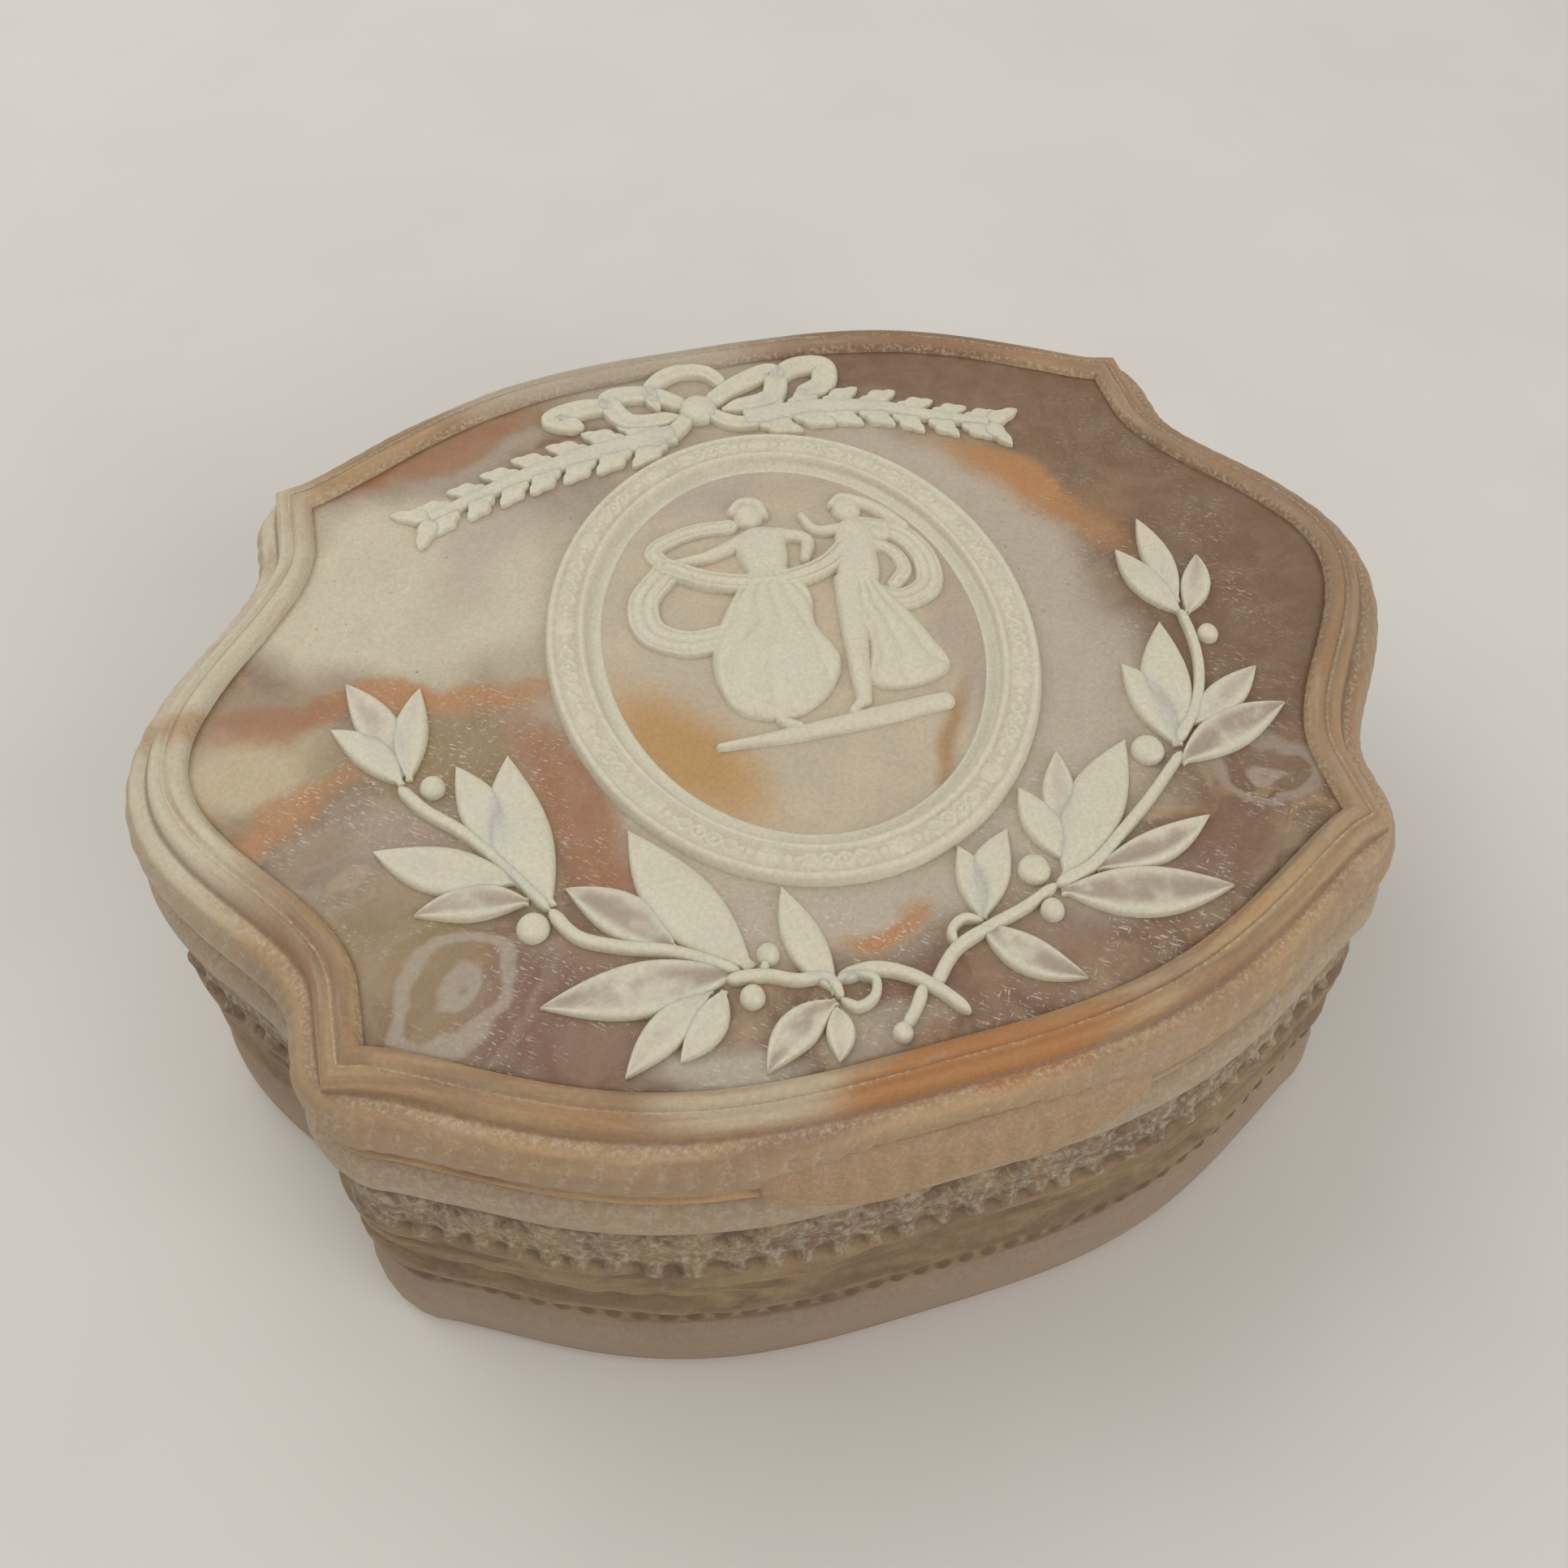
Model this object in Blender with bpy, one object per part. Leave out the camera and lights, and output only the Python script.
"""A jewelry box cast in marbled stone: a hollow base and a lift-off lid with cameo relief.

The plan is a cartouche: two long bowed sides, two short ogee sides and four eared corners. Every moulding
follows the same plan outline, moved outward or inward. Sizes here are in millimetres, and the meshes are
scaled to metres at the end. +X is the length, +Y is the back, and Z is zero under the base.
"""

from math import cos, hypot, pi, radians, sin, sqrt

import bmesh
import bpy
from mathutils import Vector

METRES_PER_MM = 0.001

# Plan outline, at the inner edge of the lid's rim
CORNER_X = 65.0
CORNER_Y = 47.0
SIDE_BULGE = 18.8
FRONT_BULGE = 18.2
SIDE_SWELL_END = 0.83
FRONT_SWELL_POWER = 1.74
FRONT_EAR_POWER = 1.25
FRONT_STEPS = 16
SIDE_STEPS = 12

# Heights
FIELD_HEIGHT = 66.0
LID_DROP = 12.3
LID_GAP = 0.3
BASE_TOP = FIELD_HEIGHT - LID_DROP - LID_GAP
FLOOR_THICKNESS = 6.0
PLATE_THICKNESS = 6.0

# Offsets from the plan outline, outward positive
EDGE_REACH = 9.6
LIP_REACH = 10.0
CAVITY_OFFSET = -1.0
RING_GAP = 0.5
RING_WIDTH = 2.8
RING_DROP = 2.7

# Thumb-lift on the front edge of the lid
THUMB_LEFT = -22.5
THUMB_RIGHT = 25.5
THUMB_REACH = 12.4
THUMB_STEPS = 16
THUMB_ROOT = 7.6
THUMB_ROOT_DROP = 4.0
THUMB_FRONT_DROP = 8.0
THUMB_MEAN_DROP = 11.8
THUMB_END_RISE = 2.0
THUMB_WAVE = 1.5
THUMB_LOBES = 2.0
THUMB_THICKNESS = 2.0
THUMB_SLOPE = 0.6

# The plan is moved back so that the box with its thumb-lift is centred on the origin
PLAN_SHIFT = (THUMB_REACH - LIP_REACH) / 2

# Oval frame and medallion
OVAL_RADIUS_X = 35.5
OVAL_RADIUS_Y = 43.5
OVAL_CENTRE_Y = 2.6
OVAL_STEPS = 26
FRAME_WIDTH = 6.0
GROOVE_HEIGHT = 0.4
DOME_INSET = 8.0
DOME_RISE = 1.6

# Relief
SUNK = 0.7
LEAF_HEIGHT = 2.0
LEAF_EDGE = 0.7
STEM_HEIGHT = 1.7
FIGURE_HEIGHT = 1.5
FIGURE_EDGE = 0.4
FIGURE_CROWN = 0.5

# Laurel leaves: base x and y, tip x and y, width, sideways bend
LEFT_LEAVES = [
    (-56.8, -8.5, -62.8, 9.6, 5.6, 0.6),
    (-57.0, -10.0, -65.4, 1.8, 4.8, 0.8),
    (-56.0, -9.5, -53.0, 6.2, 4.8, -0.6),
    (-45.5, -26.0, -49.8, -8.8, 6.0, 0.4),
    (-41.0, -34.0, -42.9, -8.8, 8.4, -1.4),
    (-44.5, -29.0, -61.6, -19.8, 7.0, -0.8),
    (-43.5, -32.5, -57.6, -30.8, 5.2, 0.8),
    (-27.0, -44.5, -38.8, -31.8, 6.4, 0.6),
    (-18.6, -49.5, -29.5, -25.2, 8.8, -1.0),
    (-20.5, -49.5, -44.4, -47.8, 7.6, 0.0),
    (-24.0, -51.0, -36.2, -59.6, 5.0, 0.4),
    (-22.5, -51.5, -29.6, -59.4, 4.6, -0.6),
    (-9.4, -55.5, -12.2, -39.0, 5.2, -0.6),
    (-9.6, -56.6, -20.0, -63.6, 5.2, 1.0),
    (-10.0, -57.4, -11.4, -64.6, 3.6, -0.4),
]
RIGHT_LEAVES = [
    (11.0, -51.0, 21.6, -62.0, 5.4, 1.0),
    (11.2, -50.4, 11.8, -39.0, 4.4, 0.6),
    (11.6, -50.4, 19.0, -38.2, 5.6, -0.8),
    (25.0, -45.0, 22.8, -32.2, 5.2, 0.0),
    (25.4, -41.0, 30.0, -27.6, 4.6, 0.2),
    (24.0, -47.6, 40.2, -28.2, 8.4, -0.4),
    (28.5, -47.0, 46.6, -43.2, 5.0, 1.0),
    (22.8, -49.0, 45.2, -54.4, 7.6, 0.6),
    (47.0, -31.0, 45.0, -15.0, 6.0, 0.6),
    (47.2, -31.0, 53.6, -8.8, 7.4, -0.4),
    (50.0, -28.0, 64.2, -20.4, 5.2, 0.4),
    (46.4, -33.8, 65.4, -27.8, 6.6, -0.6),
    (57.5, -8.0, 52.8, 7.0, 5.2, -0.4),
    (58.0, -5.6, 58.6, 12.6, 4.8, 0.2),
    (58.6, -8.0, 64.8, 3.0, 4.6, 0.6),
]

# Stems: half width, then the points that they run through
STEMS = [
    (0.9, [(-57.4, -10.5), (-54.6, -15.0), (-50.6, -19.4), (-46.0, -26.0), (-41.2, -34.6)]),
    (0.9, [(-41.2, -34.6), (-38.4, -39.4), (-34.0, -42.0), (-27.4, -44.6), (-20.0, -49.6)]),
    (0.9, [(-22.0, -50.2), (-17.0, -51.0), (-13.6, -52.6), (-9.8, -53.4), (-8.8, -56.6)]),
    (0.7, [(-9.0, -56.6), (-7.4, -58.2), (-5.0, -57.4), (-4.2, -55.2), (-6.4, -53.8), (-9.4, -54.2)]),
    (1.0, [(-8.8, -53.8), (-4.0, -53.6), (0.0, -55.6), (3.0, -58.6), (5.8, -62.6)]),
    (0.9, [(1.4, -57.4), (-0.6, -60.4), (-2.8, -62.6)]),
    (0.9, [(2.4, -58.2), (7.0, -53.6), (12.0, -51.8), (17.0, -50.4), (22.4, -48.2)]),
    (0.7, [(7.0, -53.4), (7.0, -51.2), (9.0, -49.8), (11.4, -50.8)]),
    (0.9, [(22.4, -48.2), (28.0, -46.6), (34.0, -42.6), (39.0, -39.0), (47.0, -32.4)]),
    (0.9, [(47.2, -30.6), (52.6, -24.8), (56.0, -18.0), (57.2, -12.8), (57.6, -7.4)]),
    (0.7, [(-17.6, -51.0), (-16.4, -48.6)]),
]

# Buds: centre x and y, radius
BUDS = [
    (-53.2, -11.6, 1.7),
    (-43.6, -36.6, 2.1),
    (-16.2, -48.2, 1.5),
    (-19.4, -53.4, 1.6),
    (20.4, -45.2, 2.2),
    (20.6, -51.6, 1.6),
    (42.6, -30.8, 2.4),
    (59.8, -12.8, 1.6),
    (-3.0, -63.0, 1.3),
]

# Ribbon bow: the knot, then half width and route of each loop and tail
BOW_KNOT = (-3.0, 54.4, 3.2)
BOW_LOOPS = [
    (1.5, [(-9.4, 56.0), (-9.8, 61.0), (-5.4, 64.6), (0.0, 63.6), (2.6, 59.0)]),
    (1.7, [(-4.0, 55.0), (-11.0, 60.4), (-16.6, 60.6), (-15.0, 54.6), (-6.0, 53.4)]),
    (1.9, [(-16.4, 58.6), (-21.6, 59.2), (-26.4, 57.6), (-22.0, 54.6)]),
    (1.8, [(-2.0, 55.0), (5.4, 59.6), (11.0, 61.0), (10.0, 55.4), (1.0, 53.6)]),
    (2.0, [(10.4, 58.6), (15.6, 61.6), (19.6, 60.6), (19.0, 56.6), (13.4, 54.0)]),
    (1.3, [(-4.4, 53.6), (-8.0, 50.0), (-12.6, 47.6)]),
    (1.3, [(-1.6, 53.4), (2.0, 50.0), (6.6, 49.0)]),
]

# Garlands: the middle line of each leafy swag, which ends in a fork
GARLAND_LEFT = [(-8.0, 49.6), (-20.0, 48.4), (-31.0, 46.0), (-41.0, 42.4), (-48.0, 39.4)]
GARLAND_RIGHT = [(4.0, 50.4), (15.0, 50.6), (25.0, 48.4), (35.0, 43.4), (43.0, 39.8)]
GARLAND_STATIONS = 14
GARLAND_HALF_WIDTH = 4.6
GARLAND_GAP_SHARE = 0.5
GARLAND_TAIL = 1.2
GARLAND_LEAVES = 3
GARLAND_LEAF_LENGTH = 8.4
GARLAND_LEAF_WIDTH = 4.6
GARLAND_LEAF_SPREAD = radians(42)
GARLAND_FORK_LENGTH = 6.0
GARLAND_FORK_WIDTH = 3.0

# Two dancers on the medallion. Body masses are outlines, counterclockwise
DANCER_MASSES = [
    [
        (-4.8, 21.0), (-4.6, 18.0), (-3.2, 14.4), (1.6, 14.6),
        (3.2, 19.0), (3.4, 22.2), (0.2, 24.2), (-2.6, 23.8),
    ],
    [
        (1.8, 15.2), (-3.6, 14.8), (-7.2, 10.4), (-10.6, 5.0), (-12.8, -1.0), (-10.2, -11.4),
        (-4.6, -13.6), (2.2, -10.0), (5.2, -5.0), (3.2, 2.4), (4.2, 8.8),
    ],
    [(11.4, 21.8), (9.4, 14.6), (9.0, 8.6), (13.8, 8.0), (16.4, 15.4), (16.6, 21.0), (14.0, 23.0)],
    [
        (13.8, 9.6), (9.4, 9.4), (10.6, -2.0), (8.6, -11.2),
        (15.0, -12.0), (20.2, -9.8), (19.0, -2.6), (17.0, 3.0),
    ],
]

# Limbs: start x and y, end x and y, width, sideways bend
DANCER_LIMBS = [
    (-3.4, 21.8, -15.2, 19.4, 3.0, -0.8),
    (2.2, 21.8, 7.2, 15.4, 3.0, 0.8),
    (12.4, 20.8, 6.6, 24.6, 2.8, 1.0),
    (9.6, 9.4, 5.4, -14.0, 4.6, 0.4),
    (-5.6, -11.6, -3.6, -15.4, 2.4, 0.0),
    (15.4, 24.6, 22.6, 19.0, 3.2, 0.4),
]
DANCER_HEADS = [(-1.0, 26.6, 2.6), (14.2, 24.4, 2.6)]

# Sashes and veils: half width, then route
VEILS = [
    (1.3, [(-15.0, 18.8), (-9.6, 14.4), (-1.0, 11.6), (7.4, 13.0), (14.0, 18.6)]),
    (1.4, [(-15.0, 19.0), (-16.4, 23.0), (-10.6, 25.6), (-4.0, 24.8)]),
    (2.3, [(-16.0, 18.4), (-20.0, 13.2), (-19.6, 7.0), (-15.4, 3.6), (-9.6, 3.0)]),
    (1.8, [(15.6, 20.6), (20.8, 18.0), (23.2, 11.8), (21.8, 6.2), (17.4, 4.2), (12.6, 6.4)]),
    (1.1, [(15.6, 17.2), (18.8, 14.6), (19.6, 10.4), (17.0, 7.4)]),
]
GROUND_STRIP = (-15.2, -16.0, 18.2, -16.0, 3.4, 0.0)

MARBLED_STONE = (0.42, 0.26, 0.15)
STONE_ROUGHNESS = 0.55
PETAL_STATIONS = [(0.0, 0.22), (0.32, 0.93), (0.68, 0.87), (1.0, 0.05)]


def arc(centre_x, centre_z, radius_x, radius_z, start, end, steps):
    """Points along an elliptic arc, with angles in degrees."""
    points = []
    for i in range(steps + 1):
        angle = radians(start + (end - start) * i / steps)
        points.append((centre_x + radius_x * cos(angle), centre_z + radius_z * sin(angle)))
    return points


def front_point(x):
    """A point on the bowed front side."""
    u = min(abs(x) / CORNER_X, 1.0)
    swell = sin(pi / 2 * (1 - u**FRONT_SWELL_POWER) ** FRONT_EAR_POWER)
    return Vector((x, -CORNER_Y - FRONT_BULGE * swell))


def side_point(y):
    """A point on the ogee right side."""
    u = min(abs(y) / CORNER_Y / SIDE_SWELL_END, 1.0)
    swell = (1 + cos(pi * u)) / 2
    return Vector((CORNER_X + SIDE_BULGE * swell, y))


def normal_of(side, position, limit):
    """The outward normal of a side at a position along it."""
    reach = 0.01
    low = max(position - reach, -limit)
    high = min(position + reach, limit)
    along = side(high) - side(low)
    return Vector((along.y, -along.x)).normalized()


def half_plan():
    """Points and offset directions along the front and right sides, from the front left corner."""
    front_end = normal_of(front_point, CORNER_X, CORNER_X)
    side_start = normal_of(side_point, -CORNER_Y, CORNER_Y)
    mitre = (front_end + side_start) / (1 + front_end.dot(side_start))
    plan = [(Vector((-CORNER_X, -CORNER_Y)), Vector((-mitre.x, mitre.y)))]
    for i in range(1, FRONT_STEPS):
        x = CORNER_X * (2 * i / FRONT_STEPS - 1)
        plan.append((front_point(x), normal_of(front_point, x, CORNER_X)))
    plan.append((Vector((CORNER_X, -CORNER_Y)), mitre))
    for i in range(1, SIDE_STEPS):
        y = CORNER_Y * (2 * i / SIDE_STEPS - 1)
        plan.append((side_point(y), normal_of(side_point, y, CORNER_Y)))
    return plan


def whole_plan():
    """The closed plan, counterclockwise: the half plan and the same half turned by 180 degrees."""
    half = half_plan()
    return half + [(-point, -direction) for point, direction in half]


PLAN = whole_plan()


def ring(offset, height):
    """The plan outline at an offset and a height."""
    return [(p.x + d.x * offset, p.y + d.y * offset, height) for p, d in PLAN]


def sweep(bm, profile):
    """A closed body: a ring for each point of the profile, and a flat face inside the first and the last."""
    rings = [[bm.verts.new(co) for co in ring(offset, height)] for offset, height in profile]
    count = len(PLAN)
    for upper, lower in zip(rings, rings[1:]):
        for i in range(count):
            j = (i + 1) % count
            bm.faces.new((upper[i], lower[i], lower[j], upper[j]))
    bm.faces.new(rings[0])
    bm.faces.new(reversed(rings[-1]))


def lid_profile():
    """The lid from the edge of its field, over the rim and the ribbed edge, to the hollow below."""
    field = FIELD_HEIGHT
    bottom = field - LID_DROP
    ring_outer = CAVITY_OFFSET - RING_GAP
    ring_inner = ring_outer - RING_WIDTH
    profile = [(0.0, field), (0.2, field + 0.9)]
    profile += arc(1.5, field + 0.9, 1.1, 0.9, 150, 30, 2)
    profile += [(3.1, field + 1.25), (4.0, field + 1.1), (5.1, field + 0.3), (5.7, field - 0.8)]
    profile += arc(EDGE_REACH - 3.4, field - 6.0, 3.4, 4.9, 65, -65, 3)
    profile += [(7.9, bottom + 0.9), (8.2, bottom)]
    profile += [(ring_outer, bottom), (ring_outer, bottom - RING_DROP), (ring_inner, bottom - RING_DROP)]
    profile += [(ring_inner - 0.4, field - PLATE_THICKNESS)]
    return profile


def base_profile():
    """The base from the floor of its hollow, over the top of the wall, down the outside to the foot."""
    top = BASE_TOP
    profile = [(CAVITY_OFFSET - 0.8, FLOOR_THICKNESS), (CAVITY_OFFSET, top - 0.8), (CAVITY_OFFSET + 0.8, top)]
    profile += [(7.4, top), (7.8, top - 0.5)]
    profile += arc(LIP_REACH - 2.6, top - 4.2, 2.6, 2.9, 50, -50, 3)
    profile += [(7.4, 43.6), (7.0, 36.0), (9.4, 32.0), (9.0, 25.4), (7.9, 22.4)]
    profile += [(9.6, 19.8), (8.4, 17.0), (9.2, 14.6), (8.2, 10.8), (9.5, 9.6), (9.6, 2.2), (8.6, 0.0)]
    return profile


def spine(start, end, bend, t):
    """A point and a direction on the bent line from start to end."""
    across = Vector((end.y - start.y, start.x - end.x)).normalized()
    point = start.lerp(end, t) + across * bend * sin(pi * t)
    along = (end - start) + across * bend * pi * cos(pi * t)
    return point, along.normalized()


def field_ground(point):
    """The height of the lid's surface above its field."""
    return 0.0


def dome_share(x, y, inset):
    """How far a point is from the middle of the medallion, from 0 there to 1 at the inset oval."""
    return hypot(x / (OVAL_RADIUS_X - inset), (y - OVAL_CENTRE_Y) / (OVAL_RADIUS_Y - inset))


def dome_ground(point):
    """The height of the medallion's domed ground above the field."""
    share = min(dome_share(point.x, point.y, DOME_INSET), 1.0)
    return GROOVE_HEIGHT + DOME_RISE * (1 - share**2)


def shell(bm, sections):
    """A closed body through sections that have the same number of points."""
    rows = [[bm.verts.new(co) for co in section] for section in sections]
    count = len(rows[0])
    for first, second in zip(rows, rows[1:]):
        for i in range(count):
            j = (i + 1) % count
            bm.faces.new((first[i], first[j], second[j], second[i]))
    bm.faces.new(reversed(rows[0]))
    bm.faces.new(rows[-1])


def section(point, along, half_width, ground, crown, edge):
    """Five points across a leaf or a stem: two sunk corners, two upper edges and the crown."""
    across = Vector((-along.y, along.x)) * half_width
    left = point + across
    right = point - across
    base = FIELD_HEIGHT - SUNK
    shoulder = FIELD_HEIGHT + ground + edge
    top = FIELD_HEIGHT + ground + crown
    return [
        (right.x, right.y, base),
        (right.x, right.y, shoulder),
        (point.x, point.y, top),
        (left.x, left.y, shoulder),
        (left.x, left.y, base),
    ]


def petal(bm, shape, ground, height, edge):
    """A leaf, a limb or a fold: pointed at its end, with a ridge along its middle."""
    start_x, start_y, end_x, end_y, width, bend = shape
    start = Vector((start_x, start_y))
    end = Vector((end_x, end_y))
    sections = []
    for t, share in PETAL_STATIONS:
        point, along = spine(start, end, bend, t)
        crown = edge + (height - edge) * sqrt(share)
        sections.append(section(point, along, width / 2 * share, ground(point), crown, edge))
    shell(bm, sections)


def strand(bm, half_width, route, ground, height, edge):
    """A stem, a ribbon or a fold of even width along a route of points."""
    points = [Vector(p) for p in route]
    sections = []
    for i, point in enumerate(points):
        along = points[min(i + 1, len(points) - 1)] - points[max(i - 1, 0)]
        sections.append(section(point, along.normalized(), half_width, ground(point), height, edge))
    shell(bm, sections)


def button(bm, x, y, radius, ground, height):
    """A bud, a knot or a head: a low dome with six sides."""
    sides = 6
    base = FIELD_HEIGHT - SUNK
    rise = ground(Vector((x, y)))
    levels = [(1.0, base), (1.0, FIELD_HEIGHT + rise + height * 0.45), (0.62, FIELD_HEIGHT + rise + height)]
    sections = []
    for share, level in levels:
        corners = []
        for i in range(sides):
            angle = 2 * pi * i / sides
            corners.append((x + radius * share * cos(angle), y + radius * share * sin(angle), level))
        sections.append(corners)
    shell(bm, sections)


def medallion(bm):
    """The oval frame, the groove inside it and the domed ground."""
    field = FIELD_HEIGHT
    levels = [(0.0, field - SUNK), (0.1, field + 1.0), (1.0, field + 2.1), (3.4, field + 2.4)]
    levels += [(FRAME_WIDTH - 0.8, field + 1.9), (FRAME_WIDTH, field + GROOVE_HEIGHT)]
    levels += [(DOME_INSET, field + GROOVE_HEIGHT)]
    sections = []
    for inset, level in levels:
        sections.append(oval(inset, 1.0, level))
    for share in (0.7, 0.35):
        sections.append(oval(DOME_INSET, share, field + GROOVE_HEIGHT + DOME_RISE * (1 - share**2)))
    shell(bm, sections)


def oval(inset, share, level):
    """The medallion's oval, inset from its frame's outer edge and scaled about its middle."""
    corners = []
    for i in range(OVAL_STEPS):
        angle = 2 * pi * i / OVAL_STEPS
        x = (OVAL_RADIUS_X - inset) * share * cos(angle)
        y = OVAL_CENTRE_Y + (OVAL_RADIUS_Y - inset) * share * sin(angle)
        corners.append((x, y, level))
    return corners


def plaque(bm, outline, ground, height, edge):
    """A body mass or a skirt: an upright edge, a sloped shoulder and a top that rises to its middle."""
    points = [Vector(p) for p in outline]
    centre = sum(points, Vector((0.0, 0.0))) / len(points)
    rows = []
    for share, rise in ((1.0, None), (1.0, edge), (0.6, height)):
        row = []
        for point in points:
            place = centre.lerp(point, share)
            level = -SUNK if rise is None else ground(place) + rise
            row.append(bm.verts.new((place.x, place.y, FIELD_HEIGHT + level)))
        rows.append(row)
    top = bm.verts.new((centre.x, centre.y, FIELD_HEIGHT + ground(centre) + height + FIGURE_CROWN))
    count = len(points)
    for i in range(count):
        j = (i + 1) % count
        for lower, upper in zip(rows, rows[1:]):
            bm.faces.new((lower[i], lower[j], upper[j], upper[i]))
        bm.faces.new((rows[-1][i], rows[-1][j], top))
    bm.faces.new(reversed(rows[0]))


def along_route(route, place):
    """A point and a direction on a route, with place counted in spans."""
    index = min(int(place), len(route) - 2)
    start = Vector(route[index])
    end = Vector(route[index + 1])
    return start.lerp(end, place - index), (end - start).normalized()


def garland(bm, route):
    """A swag whose edges are cut into leaf lobes, with free leaves at its sides and a forked end."""
    spans = len(route) - 1
    sections = []
    for i in range(GARLAND_STATIONS):
        t = i / (GARLAND_STATIONS - 1)
        point, along = along_route(route, spans * t)
        lobe = 1.0 if i % 2 else GARLAND_GAP_SHARE
        half_width = GARLAND_TAIL + (GARLAND_HALF_WIDTH - GARLAND_TAIL) * (1 - t**2) * lobe
        sections.append(section(point, along, half_width, field_ground(point), LEAF_HEIGHT, LEAF_EDGE))
    shell(bm, sections)
    for i in range(GARLAND_LEAVES):
        point, along = along_route(route, spans * (i + 0.7) / (GARLAND_LEAVES + 1.0))
        size = 1.0 - 0.12 * i
        leaf_pair(bm, point, along, GARLAND_LEAF_LENGTH * size, GARLAND_LEAF_WIDTH * size)
    point, along = along_route(route, spans)
    leaf_pair(bm, point, along, GARLAND_FORK_LENGTH, GARLAND_FORK_WIDTH)


def leaf_pair(bm, point, along, length, width):
    """Two leaves that spread from a point."""
    for side in (1, -1):
        tip = point + rotated(along, side * GARLAND_LEAF_SPREAD) * length
        petal(bm, (*point, *tip, width, 0.0), field_ground, LEAF_HEIGHT, LEAF_EDGE)


def rotated(direction, angle):
    """A plan direction turned counterclockwise."""
    return Vector(
        (
            direction.x * cos(angle) - direction.y * sin(angle),
            direction.x * sin(angle) + direction.y * cos(angle),
        )
    )


def thumb_lift(bm):
    """The wavy lip over the front edge that a thumb pushes up."""
    sections = []
    for i in range(THUMB_STEPS + 1):
        t = i / THUMB_STEPS
        x = THUMB_LEFT + (THUMB_RIGHT - THUMB_LEFT) * t
        point = front_point(x)
        out = normal_of(front_point, x, CORNER_X)
        fade = sqrt(sin(pi * t))
        wave = THUMB_WAVE * cos(2 * pi * THUMB_LOBES * t) * fade
        drop = THUMB_MEAN_DROP - wave - THUMB_END_RISE * (1 - fade)
        reach = EDGE_REACH + (THUMB_REACH - EDGE_REACH) * fade
        inner = max(reach - THUMB_THICKNESS, LIP_REACH + LID_GAP) if drop > LID_DROP else THUMB_ROOT
        front = (reach - THUMB_SLOPE, THUMB_FRONT_DROP)
        corners = [(THUMB_ROOT, THUMB_ROOT_DROP), (inner, drop), (reach, drop), front]
        sections.append([(*(point + out * offset), FIELD_HEIGHT - down) for offset, down in corners])
    shell(bm, sections)


def relief(bm):
    """Everything that stands proud of the lid, as closed shells that run into it."""
    medallion(bm)
    for shape in LEFT_LEAVES + RIGHT_LEAVES:
        petal(bm, shape, field_ground, LEAF_HEIGHT, LEAF_EDGE)
    for half_width, route in STEMS:
        strand(bm, half_width, route, field_ground, STEM_HEIGHT, LEAF_EDGE)
    for x, y, radius in BUDS:
        button(bm, x, y, radius, field_ground, LEAF_HEIGHT)
    for half_width, route in BOW_LOOPS:
        strand(bm, half_width, route, field_ground, LEAF_HEIGHT, LEAF_EDGE)
    button(bm, *BOW_KNOT, field_ground, LEAF_HEIGHT + 0.4)
    garland(bm, GARLAND_LEFT)
    garland(bm, GARLAND_RIGHT)
    for outline in DANCER_MASSES:
        plaque(bm, outline, dome_ground, FIGURE_HEIGHT, FIGURE_EDGE)
    for shape in DANCER_LIMBS + [GROUND_STRIP]:
        petal(bm, shape, dome_ground, FIGURE_HEIGHT, FIGURE_EDGE)
    for half_width, route in VEILS:
        strand(bm, half_width, route, dome_ground, FIGURE_HEIGHT, FIGURE_EDGE)
    for x, y, radius in DANCER_HEADS:
        button(bm, x, y, radius, dome_ground, FIGURE_HEIGHT + FIGURE_CROWN)
    thumb_lift(bm)


def finished(name, bm, material):
    """An object from a millimetre mesh, moved onto the origin and scaled to metres."""
    bmesh.ops.recalc_face_normals(bm, faces=bm.faces)
    for vert in bm.verts:
        vert.co = (vert.co + Vector((0, PLAN_SHIFT, 0))) * METRES_PER_MM
    mesh = bpy.data.meshes.new(name)
    bm.to_mesh(mesh)
    bm.free()
    mesh.materials.append(material)
    mesh.shade_smooth()
    mesh.set_sharp_from_angle(angle=radians(35))
    obj = bpy.data.objects.new(name, mesh)
    bpy.context.scene.collection.objects.link(obj)
    return obj


def stone(name, colour):
    """Cast marbled stone with a satin surface."""
    material = bpy.data.materials.new(name)
    material.use_nodes = True
    shader = material.node_tree.nodes["Principled BSDF"]
    shader.inputs["Base Color"].default_value = (*colour, 1)
    shader.inputs["Roughness"].default_value = STONE_ROUGHNESS
    shader.inputs["Metallic"].default_value = 0.0
    return material


def clear_scene():
    for obj in list(bpy.data.objects):
        bpy.data.objects.remove(obj, do_unlink=True)


def main():
    clear_scene()
    marbled = stone("marbled stone", MARBLED_STONE)

    base = bmesh.new()
    sweep(base, base_profile())
    finished("box_base", base, marbled)

    lid = bmesh.new()
    sweep(lid, lid_profile())
    lid = finished("lid", lid, marbled)

    carving = bmesh.new()
    relief(carving)
    carving = finished("relief_guide", carving, marbled)
    carving.hide_render = True
    carving.display_type = "WIRE"
    union = lid.modifiers.new("relief", "BOOLEAN")
    union.operation = "UNION"
    union.object = carving
    union.solver = "EXACT"
    union.use_self = True


main()
